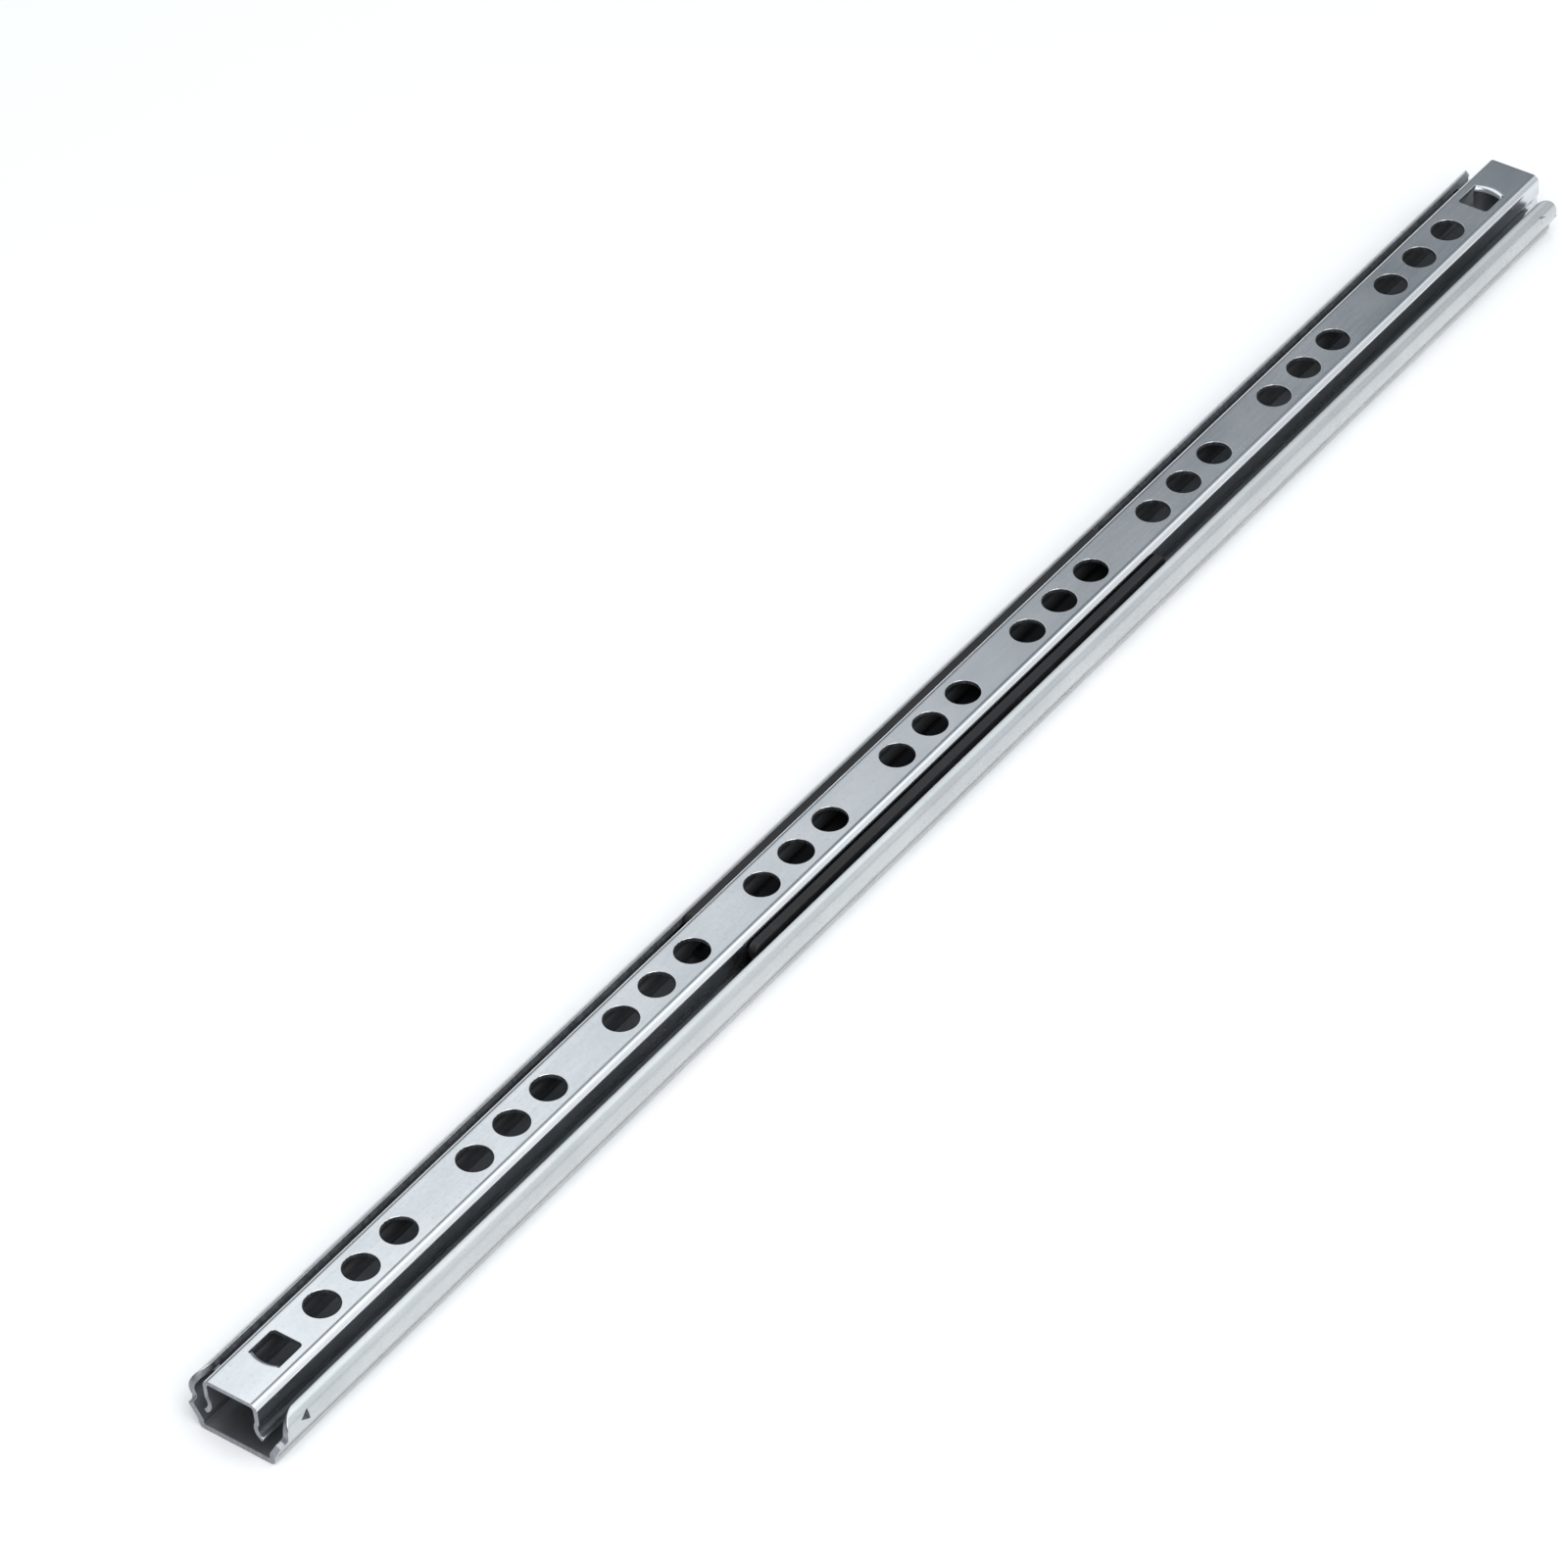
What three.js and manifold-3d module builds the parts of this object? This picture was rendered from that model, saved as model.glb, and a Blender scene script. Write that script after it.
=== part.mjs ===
import * as THREE from 'three';
import { mergeVertices } from 'three/addons/utils/BufferGeometryUtils.js';
import Module from 'manifold-3d';

// Two-section ball bearing drawer slide, closed, lying on its cabinet face.
// Millimetres. +X is the way the drawer member opens, +Z up, the origin is the
// centre of the cabinet member's mounting face.

const wasm = await Module();
wasm.setup();

// cabinet member: the wide outer channel
const cabinetLength = 310;
const sectionWidth = 17;
const cabinetSheet = 1;
const raceRadius = 1.62;
const raceHeight = 5.6;
const raceOffset = sectionWidth / 2 - cabinetSheet - raceRadius;
const lipAngle = 70;
const footHalfWidth = 6.55;
const footFillet = 1.05;
const footHeight = 1.5;
const cabinetHoleRadius = 2.2;
const cabinetHolePlaces = [32, 96, 128];

// trimmed corners of the raceway lips at both ends
const trimSetback = 1.1;
const frontTrimRadius = 3.5;
const rearTrimRadius = 2.7;
const trimFloor = 3.8;

// punched stops in the raceways
const stopPlace = 149.5;
const stopLength = 1.7;
const stopHalfHeight = 0.95;
const stopDepth = 1.5;
const stopHeight = 6.3;

// drawer member: the narrow inner channel
const drawerLength = 310;
const sectionHeight = 10;
const drawerSheet = 0.7;
const drawerHalfWidth = 4.6;
const shoulderRadius = 1.2;
const grooveEnd = 240;
const drawerHoleRadius = 2.6;
const groupPitch = 32;
const holePitch = 8;
const groupCount = 9;

// bent stop tabs of the drawer member
const tabFace = 147;
const tabHoleLength = 4;
const tabHalfWidth = 2.6;
const tabBend = 0.9;
const tabTip = 3.7;

// ball retainer and balls
const retainerLength = 100;
const retainerTop = 8.75;
const retainerCorner = 1.1;
const ballRadius = 1.5875;
const ballPitch = 7.3;
const ballsPerSide = 13;
const pocketRadius = 1.72;

const toRadians = THREE.MathUtils.degToRad;

// --- outlines -------------------------------------------------------------

function arcPoints(centreY, centreZ, radius, startAngle, endAngle, steps) {
  const points = [];
  for (let i = 0; i <= steps; i += 1) {
    const angle = toRadians(startAngle + ((endAngle - startAngle) * i) / steps);
    points.push([centreY + radius * Math.cos(angle), centreZ + radius * Math.sin(angle)]);
  }
  return points;
}

// a half outline from the middle plane outwards, completed by its mirror image
function mirrored(outerHalf, innerHalf) {
  const half = [...outerHalf, ...innerHalf];
  const otherHalf = half.map(([y, z]) => [-y, z]).reverse();
  return [...half, ...otherHalf];
}

function cabinetOutline() {
  const outerRadius = raceRadius + cabinetSheet;
  const offsetY = raceOffset - footHalfWidth;
  const offsetZ = raceHeight - footHeight;
  const reach = Math.hypot(offsetY, offsetZ);
  const heading = Math.atan2(offsetZ, offsetY) - Math.asin(outerRadius / reach);
  const lean = 90 - THREE.MathUtils.radToDeg(heading);
  const footInner = footHalfWidth - cabinetSheet;
  const bendGap = (cabinetSheet * (1 - Math.cos(toRadians(lean)))) / Math.sin(toRadians(lean));
  const footCentre = footHalfWidth - footFillet;
  const outerHalf = [
    ...arcPoints(footCentre, footFillet, footFillet, -90, 0, 5),
    [footHalfWidth, footHeight],
    ...arcPoints(raceOffset, raceHeight, outerRadius, -lean, lipAngle, 11),
  ];
  const innerHalf = [
    ...arcPoints(raceOffset, raceHeight, raceRadius, lipAngle, -lean, 11),
    [footInner, footHeight + bendGap],
    [footInner, cabinetSheet],
  ];
  return mirrored(outerHalf, innerHalf);
}

function drawerOutline() {
  const shoulderY = drawerHalfWidth - shoulderRadius;
  const shoulderZ = sectionHeight - shoulderRadius;
  const blend = shoulderRadius + raceRadius;
  const blendDrop = Math.sqrt(blend ** 2 - (raceOffset - shoulderY) ** 2);
  const waistZ = raceHeight + blendDrop;
  const blendAngle = THREE.MathUtils.radToDeg(Math.atan2(blendDrop, raceOffset - shoulderY));
  const innerShoulder = shoulderRadius - drawerSheet;
  const outerHalf = [
    ...arcPoints(shoulderY, shoulderZ, shoulderRadius, 90, 0, 6),
    ...arcPoints(shoulderY, waistZ, shoulderRadius, 0, -blendAngle, 3),
    ...arcPoints(raceOffset, raceHeight, raceRadius, 180 - blendAngle, grooveEnd, 9).slice(1),
  ];
  const innerHalf = [
    ...arcPoints(raceOffset, raceHeight, raceRadius + drawerSheet, grooveEnd, 180 - blendAngle, 9),
    ...arcPoints(shoulderY, waistZ, innerShoulder, -blendAngle, 0, 2).slice(1),
    ...arcPoints(shoulderY, shoulderZ, innerShoulder, 0, 90, 3),
  ];
  return mirrored(outerHalf, innerHalf);
}

// walls that hold the balls, a low web under the drawer member's lips and a
// raised spine inside its channel, which the bent tabs run against
function retainerOutline() {
  const outerHalf = [
    [1.9, 3.9],
    [2.9, 1.9],
    [4.9, 1.9],
    [5.55, 2.3],
    [6.25, 3.6],
    [6.45, 4.5],
    [6.45, 6.3],
    [6.2, 7],
    [6.2, retainerTop - 0.25],
    [5.95, retainerTop],
  ];
  const innerHalf = [
    [5.1, retainerTop],
    [4.85, retainerTop - 0.25],
    [4.85, 7.1],
    [5.25, 6.6],
    [5.25, 4.7],
    [5.4, 3.9],
    [5, 3.1],
    [4.5, 2.95],
    [3.7, 2.95],
    [2.9, 4.9],
  ];
  return mirrored(outerHalf, innerHalf);
}

// --- solids ---------------------------------------------------------------

function toSolid(geometry) {
  const bare = new THREE.BufferGeometry();
  bare.setAttribute('position', geometry.getAttribute('position').clone());
  if (geometry.index) {
    bare.setIndex(geometry.index.clone());
  }
  const merged = mergeVertices(bare, 1e-5);
  const mesh = new wasm.Mesh({
    numProp: 3,
    vertProperties: new Float32Array(merged.getAttribute('position').array),
    triVerts: new Uint32Array(merged.index.array),
  });
  mesh.merge();
  return new wasm.Manifold(mesh);
}

function toGeometry(solid) {
  const mesh = solid.getMesh();
  const indexed = new THREE.BufferGeometry();
  indexed.setAttribute('position', new THREE.BufferAttribute(mesh.vertProperties, 3));
  indexed.setIndex(new THREE.BufferAttribute(mesh.triVerts, 1));
  const geometry = indexed.toNonIndexed();
  geometry.computeVertexNormals();
  return geometry;
}

function prism(points, length) {
  const shape = new THREE.Shape(points.map(([u, v]) => new THREE.Vector2(u, v)));
  return new THREE.ExtrudeGeometry(shape, { depth: length, bevelEnabled: false, steps: 1 });
}

// a cross-section in Y and Z, run along X and centred on the origin
function alongX(points, length) {
  const geometry = prism(points, length);
  const basis = new THREE.Matrix4().makeBasis(
    new THREE.Vector3(0, 1, 0),
    new THREE.Vector3(0, 0, 1),
    new THREE.Vector3(1, 0, 0),
  );
  geometry.applyMatrix4(basis);
  geometry.translate(-length / 2, 0, 0);
  return toSolid(geometry);
}

// a side view in X and Z, run along Y and centred on the middle plane
function alongY(points, length) {
  const geometry = prism(points, length);
  const basis = new THREE.Matrix4().makeBasis(
    new THREE.Vector3(1, 0, 0),
    new THREE.Vector3(0, 0, 1),
    new THREE.Vector3(0, -1, 0),
  );
  geometry.applyMatrix4(basis);
  geometry.translate(0, length / 2, 0);
  return toSolid(geometry);
}

function upright(radius, x, base, height, sides) {
  const geometry = new THREE.CylinderGeometry(radius, radius, height, sides);
  geometry.rotateX(Math.PI / 2);
  geometry.translate(x, 0, base + height / 2);
  return toSolid(geometry);
}

// --- cabinet member -------------------------------------------------------

// the side view taken off each end: a set-back edge that rounds into the lip
function trimOutline(end) {
  const outerRadius = raceRadius + cabinetSheet;
  const trimRadius = end > 0 ? frontTrimRadius : rearTrimRadius;
  const steps = 8;
  const edge = [];
  for (let i = 0; i <= steps; i += 1) {
    const turn = toRadians((90 * i) / steps);
    const along = trimSetback + trimRadius * (1 - Math.cos(turn));
    const fromLip = trimRadius * (1 - Math.sin(turn));
    const angle = toRadians(lipAngle) - fromLip / outerRadius;
    edge.push([along, raceHeight + outerRadius * Math.sin(angle)]);
  }
  const outline = [
    [-2, trimFloor],
    [trimSetback - 0.3, trimFloor],
    [trimSetback, trimFloor + 0.3],
    ...edge,
    [trimSetback + trimRadius + 0.01, sectionHeight],
    [-2, sectionHeight],
  ];
  return outline.map(([x, z]) => [end * (cabinetLength / 2 - x), z]);
}

// a three-cornered wedge pushed in from the raceway's outside
function stopWedge(end, side, inward) {
  const spread = raceRadius + cabinetSheet;
  const skin = raceOffset + Math.sqrt(spread ** 2 - (stopHeight - raceHeight) ** 2) + 0.1;
  const wedge = new THREE.BufferGeometry();
  const corners = [
    [stopPlace + stopLength, skin, stopHeight],
    [stopPlace, skin, stopHeight + stopHalfHeight],
    [stopPlace, skin, stopHeight - stopHalfHeight],
    [stopPlace, skin - stopDepth, stopHeight],
  ].map(([x, y, z]) => [end * x, side * (y - inward), z]);
  const faces = [0, 2, 1, 0, 1, 3, 0, 3, 2, 1, 2, 3];
  const order = end * side > 0 ? faces : faces.reverse();
  wedge.setAttribute('position', new THREE.Float32BufferAttribute(corners.flat(), 3));
  wedge.setIndex(order);
  return toSolid(wedge);
}

function cabinetMember() {
  let body = alongX(cabinetOutline(), cabinetLength);
  for (const end of [-1, 1]) {
    body = body.subtract(alongY(trimOutline(end), sectionWidth + 4));
    for (const side of [-1, 1]) {
      body = body.add(stopWedge(end, side, cabinetSheet - 0.1));
      body = body.subtract(stopWedge(end, side, 0));
    }
    for (const place of cabinetHolePlaces) {
      body = body.subtract(upright(cabinetHoleRadius, end * place, -1, 3, 20));
    }
  }
  return toGeometry(body);
}

// --- drawer member --------------------------------------------------------

// the side view of a tab bent down from the web at the end side of its hole
function tabOutline(end) {
  const bendX = tabFace + tabBend;
  const bendZ = sectionHeight - tabBend;
  const outer = arcPoints(bendX, bendZ, tabBend, 90, 180, 6);
  const inner = arcPoints(bendX, bendZ, tabBend - drawerSheet, 180, 90, 3);
  const outline = [
    [bendX + 0.5, sectionHeight],
    ...outer,
    [tabFace, tabTip],
    [tabFace + drawerSheet, tabTip],
    ...inner,
    [bendX + 0.5, sectionHeight - drawerSheet],
  ];
  return outline.map(([x, z]) => [end * x, z]);
}

function drawerMember() {
  let body = alongX(drawerOutline(), drawerLength);
  for (let group = 0; group < groupCount; group += 1) {
    for (let hole = -1; hole <= 1; hole += 1) {
      const place = (group - (groupCount - 1) / 2) * groupPitch + hole * holePitch;
      body = body.subtract(upright(drawerHoleRadius, place, sectionHeight - 2, 3, 24));
    }
  }
  for (const end of [-1, 1]) {
    const window = new THREE.BoxGeometry(tabHoleLength + tabBend, 2 * tabHalfWidth, 3);
    const windowCentre = tabFace + tabBend - (tabHoleLength + tabBend) / 2;
    window.translate(end * windowCentre, 0, sectionHeight);
    body = body.subtract(toSolid(window));
    body = body.add(alongY(tabOutline(end), 2 * tabHalfWidth));
  }
  return toGeometry(body);
}

// --- ball retainer --------------------------------------------------------

const ballPlaces = Array.from(
  { length: ballsPerSide },
  (unused, i) => (i - (ballsPerSide - 1) / 2) * ballPitch,
);

function ballRetainer() {
  let body = alongX(retainerOutline(), retainerLength);
  for (const end of [-1, 1]) {
    const corner = [
      [retainerLength / 2 - retainerCorner, retainerTop + 0.01],
      [retainerLength / 2 + 1, retainerTop + 0.01],
      [retainerLength / 2 + 1, retainerTop - retainerCorner],
      [retainerLength / 2 + 0.01, retainerTop - retainerCorner],
    ].map(([x, z]) => [end * x, z]);
    body = body.subtract(alongY(corner, sectionWidth));
    for (const place of ballPlaces) {
      const pocket = new THREE.CylinderGeometry(pocketRadius, pocketRadius, 3, 20);
      pocket.translate(place, end * (raceOffset + 0.2), raceHeight);
      body = body.subtract(toSolid(pocket));
    }
  }
  return toGeometry(body);
}

// --- assembly -------------------------------------------------------------

function piece(name, geometry, colour, roughness, metalness) {
  const material = new THREE.MeshStandardMaterial({ color: colour, roughness, metalness });
  const mesh = new THREE.Mesh(geometry, material);
  mesh.name = name;
  return mesh;
}

const slide = new THREE.Group();
slide.name = 'drawer_slide';

slide.add(piece('outer_member', cabinetMember(), 0xb9bec1, 0.38, 0.9));
slide.add(piece('inner_member', drawerMember(), 0xccd1d4, 0.34, 0.9));
slide.add(piece('ball_retainer', ballRetainer(), 0x1d1d20, 0.6, 0));

for (const [sideName, side] of [['left', -1], ['right', 1]]) {
  ballPlaces.forEach((place, i) => {
    const ball = new THREE.SphereGeometry(ballRadius, 14, 9);
    const name = `ball_${sideName}_${String(i + 1).padStart(2, '0')}`;
    const mesh = piece(name, ball, 0xd5d8da, 0.12, 1);
    mesh.position.set(place, side * raceOffset, raceHeight);
    slide.add(mesh);
  });
}

export default slide;
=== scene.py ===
import math

import bmesh
import bpy
from mathutils import Matrix, Vector


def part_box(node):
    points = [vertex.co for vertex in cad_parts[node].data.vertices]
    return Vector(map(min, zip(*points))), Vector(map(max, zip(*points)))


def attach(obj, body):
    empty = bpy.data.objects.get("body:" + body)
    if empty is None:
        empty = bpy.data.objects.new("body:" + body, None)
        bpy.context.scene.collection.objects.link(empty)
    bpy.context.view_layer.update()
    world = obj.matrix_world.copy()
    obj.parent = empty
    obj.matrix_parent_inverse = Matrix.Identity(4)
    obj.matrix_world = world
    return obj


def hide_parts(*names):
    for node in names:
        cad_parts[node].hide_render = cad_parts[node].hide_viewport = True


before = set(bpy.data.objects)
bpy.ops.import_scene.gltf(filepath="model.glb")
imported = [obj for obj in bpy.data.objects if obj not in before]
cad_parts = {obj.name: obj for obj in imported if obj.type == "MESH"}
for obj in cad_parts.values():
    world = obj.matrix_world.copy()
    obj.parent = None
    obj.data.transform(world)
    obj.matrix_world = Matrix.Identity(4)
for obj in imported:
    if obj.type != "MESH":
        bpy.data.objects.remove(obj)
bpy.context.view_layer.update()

mm = 0.001  # every size below is in millimetres

# a sheet's material slots: its outer face, its inner face and its cut edges
outerFace, innerFace, cutFace = 0, 1, 2

# the section both members share, in the CAD frame: X along the slide, Z up
section = {
    "raceRadius": 1.62,
    "raceHeight": 5.6,
    "raceOffset": 5.88,
    "drillDepth": 3,
}


def arcPoint(centreY, centreZ, radius, degrees):
    angle = math.radians(degrees)
    return centreY + radius * math.cos(angle), centreZ + radius * math.sin(angle)


def arcChain(centreY, centreZ, radius, startAngle, endAngle, steps):
    angles = [startAngle + (endAngle - startAngle) * i / steps for i in range(steps + 1)]
    return [arcPoint(centreY, centreZ, radius, angle) for angle in angles]


def mirrored(rightHalf):
    return [(-y, z) for y, z in reversed(rightHalf)]


def asVerts(geometry):
    return [g for g in geometry if isinstance(g, bmesh.types.BMVert)]


def pullEdges(bm, edges, step):
    # new faces between the edges and a copy of them one step away; the copy is returned
    grown = bmesh.ops.extrude_edge_only(bm, edges=edges)["geom"]
    verts = asVerts(grown)
    fresh = set(verts)
    bmesh.ops.translate(bm, vec=step, verts=verts)
    return [g for g in grown if isinstance(g, bmesh.types.BMEdge) and fresh.issuperset(g.verts)]


def sweepStrip(bm, profile, stations):
    # an open profile in Y and Z, pulled along X from station to station
    verts = [bm.verts.new((stations[0], y, z)) for y, z in profile]
    edges = [bm.edges.new(pair) for pair in zip(verts, verts[1:])]
    for start, end in zip(stations, stations[1:]):
        edges = pullEdges(bm, edges, (end - start, 0, 0))


def paintFaces(bm, slot):
    for face in bm.faces:
        face.material_index = slot


def prismBetween(bm, corners, travel):
    # a flat face through the corners, pulled into a closed solid
    face = bm.faces.new([bm.verts.new(c) for c in corners])
    grown = bmesh.ops.extrude_face_region(bm, geom=[face])["geom"]
    bmesh.ops.translate(bm, vec=travel, verts=asVerts(grown))


def faceOutward(bm):
    # an open strip wrapped round a line along X at the raceways' height
    lean = 0.0
    for face in bm.faces:
        centre = face.calc_center_median()
        fromLine = centre - Vector((centre.x, 0, section["raceHeight"]))
        lean += face.calc_area() * face.normal.dot(fromLine)
    if lean < 0:
        bmesh.ops.reverse_faces(bm, faces=bm.faces[:])


def makePiece(name, bm, *finishes):
    bmesh.ops.scale(bm, vec=(mm, mm, mm), verts=bm.verts[:])
    mesh = bpy.data.meshes.new(name)
    bm.to_mesh(mesh)
    bm.free()
    piece = bpy.data.objects.new(name, mesh)
    bpy.context.scene.collection.objects.link(piece)
    for finish in finishes:
        mesh.materials.append(finish)
    return piece


def settle(piece):
    # the modifiers' result becomes the piece's own mesh
    graph = bpy.context.evaluated_depsgraph_get()
    finished = bpy.data.meshes.new_from_object(piece.evaluated_get(graph), depsgraph=graph)
    piece.modifiers.clear()
    piece.data = finished
    finished.name = piece.name


def combine(piece, tool, operation):
    change = piece.modifiers.new("combine", "BOOLEAN")
    change.operation = operation
    change.object = tool
    change.solver = "EXACT"
    change.material_mode = "INDEX"
    settle(piece)
    bpy.data.objects.remove(tool)


def closeSlivers(piece, mergeWithin=0.004, shortest=0.001):
    # hair-thin faces left along a joined seam
    bm = bmesh.new()
    bm.from_mesh(piece.data)
    bmesh.ops.remove_doubles(bm, verts=bm.verts[:], dist=mergeWithin * mm)
    bmesh.ops.dissolve_degenerate(bm, edges=bm.edges[:], dist=shortest * mm)
    bm.to_mesh(piece.data)
    bm.free()


def thicken(piece, thickness):
    wall = piece.modifiers.new("sheet", "SOLIDIFY")
    wall.thickness = thickness * mm
    wall.offset = -1
    wall.use_even_offset = True
    wall.use_quality_normals = True
    wall.material_offset = innerFace
    wall.material_offset_rim = cutFace
    settle(piece)


def softenEdges(piece, width, angle=35):
    bevel = piece.modifiers.new("edges", "BEVEL")
    bevel.width = width * mm
    bevel.segments = 3
    bevel.limit_method = "ANGLE"
    bevel.angle_limit = math.radians(angle)
    bevel.use_clamp_overlap = False
    bevel.profile = 0.5
    settle(piece)


def smoothFaces(piece, angle=38):
    piece.data.shade_smooth()
    piece.data.set_sharp_from_angle(angle=math.radians(angle))
    weigh = piece.modifiers.new("flatFaces", "WEIGHTED_NORMAL")
    weigh.mode = "FACE_AREA"
    weigh.keep_sharp = True
    settle(piece)


def feed(tree, socket, value):
    # a link where the value is another node's output, otherwise the plain value
    if isinstance(value, bpy.types.NodeSocket):
        tree.links.new(value, socket)
    else:
        socket.default_value = value


def startFinish(name):
    finish = bpy.data.materials.new(name)
    finish.use_nodes = True
    tree = finish.node_tree
    return finish, tree, tree.nodes["Principled BSDF"]


def addNode(tree, kind, settings=None, **inputs):
    node = tree.nodes.new(kind)
    for key, value in (settings or {}).items():
        setattr(node, key, value)
    for key, value in inputs.items():
        feed(tree, node.inputs[key], value)
    return node


def objectNoise(tree, stretch, scale, detail, roughness=0.55):
    coords = addNode(tree, "ShaderNodeTexCoord")
    placed = addNode(tree, "ShaderNodeMapping", Vector=coords.outputs["Object"], Scale=stretch)
    noise = addNode(
        tree, "ShaderNodeTexNoise",
        Vector=placed.outputs["Vector"], Scale=scale, Detail=detail, Roughness=roughness,
    )
    return noise.outputs["Fac"]


def remap(tree, value, source, target, smooth=False):
    # the source pair of numbers becomes the target pair, and nothing goes past them
    style = {"interpolation_type": "SMOOTHSTEP"} if smooth else {}
    node = addNode(tree, "ShaderNodeMapRange", style, Value=value)
    for socket, number in zip(("From Min", "From Max", "To Min", "To Max"), (*source, *target)):
        node.inputs[socket].default_value = number
    return node.outputs["Result"]


def calc(tree, operation, first, second=0.0):
    node = addNode(tree, "ShaderNodeMath", {"operation": operation})
    for socket, value in zip(node.inputs, (first, second)):
        feed(tree, socket, value)
    return node.outputs[0]


def multiply(tree, first, *others):
    for other in others:
        first = calc(tree, "MULTIPLY", first, other)
    return first


def mixColours(tree, share, low, high):
    node = addNode(tree, "ShaderNodeMix", {"data_type": "RGBA"})
    factorSocket, lowSocket, highSocket = node.inputs[0], node.inputs[6], node.inputs[7]
    feed(tree, factorSocket, share)
    feed(tree, lowSocket, low)
    feed(tree, highSocket, high)
    return node.outputs[2]


def addBump(tree, shader, patterns, relief):
    # relief holds each pattern's strength and depth in mm, the finest last
    normal = None
    for height, (strength, depth) in zip(patterns, relief):
        bump = addNode(tree, "ShaderNodeBump", Height=height, Strength=strength, Distance=depth * mm)
        if normal is not None:
            tree.links.new(normal, bump.inputs["Normal"])
        normal = bump.outputs["Normal"]
    tree.links.new(normal, shader.inputs["Normal"])


def inMetres(*sizes):
    return [size * mm for size in sizes]


# noise gathers round 0.5: nearly all of it, and its core
noiseSpan = (0.3, 0.7)
noiseCore = (0.35, 0.65)
evenNoise = (1, 1, 1)

cabinetZinc = {
    "clearColour": (0.59, 0.605, 0.61, 1),
    "cloudColour": (0.52, 0.54, 0.55, 1),
    "spotColour": (0.44, 0.46, 0.475, 1),
    "burnishAndPaintedHighlight": (0.70, 0.71, 0.72, 1),
    "roughness": (0.22, 0.30),
    "rubbedRoughness": 0.14,
}

drawerZinc = {
    "clearColour": (0.71, 0.725, 0.74, 1),
    "cloudColour": (0.62, 0.645, 0.665, 1),
    "spotColour": (0.52, 0.54, 0.57, 1),
    "burnishAndPaintedHighlight": (0.77, 0.78, 0.79, 1),
    "roughness": (0.16, 0.25),
    "rubbedRoughness": 0.11,
}

# zinc for the channel's inside and the drawer member's underside, darkened as painted shade
insideZincPaintedShade = {
    "clearColour": (0.26, 0.27, 0.285, 1),
    "cloudColour": (0.22, 0.23, 0.24, 1),
    "spotColour": (0.17, 0.175, 0.185, 1),
    "burnishAndPaintedHighlight": (0.42, 0.43, 0.45, 1),
    "roughness": (0.48, 0.60),
    "rubbedRoughness": 0.22,
}

# patterns are stretch, scale, detail and, where it is not the usual one, roughness
plating = {
    "patterns": {
        "cloud": ((0.5, 1, 1), 160, 4),
        "speckle": (evenNoise, 1500, 2),
        "rolling": ((0.02, 1, 1), 2600, 3, 0.7),
        "grain": (evenNoise, 7000, 2),
        "smudge": ((0.6, 1, 1), 45, 3),
    },
    "clouds": (0.35, 0.68),
    "spots": (0.60, 0.78),
    "spotShare": 0.35,
    "speckleDulling": (-0.02, 0.02),
    "rollingDulling": (-0.02, 0.03),
    "relief": ((0.15, 0.02), (0.12, 0.006), (0.12, 0.003)),
}

# where balls have worn the plating, and the band of painted highlight along the upper walls and lips, in mm
wearAndPaintedHighlight = {
    "trackHeight": (0.25, 0.55),
    "trackFade": 0.15,
    "trackRun": (138, 148),
    "trackBreakUp": (0.45, 1.0),
    "paintedHighlightFade": 0.6,
    "paintedHighlightHeight": (7.4, 8.8),
    "paintedHighlightClouds": (0.4, 0.6),
    "paintedHighlightBreakUp": (0.2, 0.8),
    "paintedHighlightPolish": 0.04,
}


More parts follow.
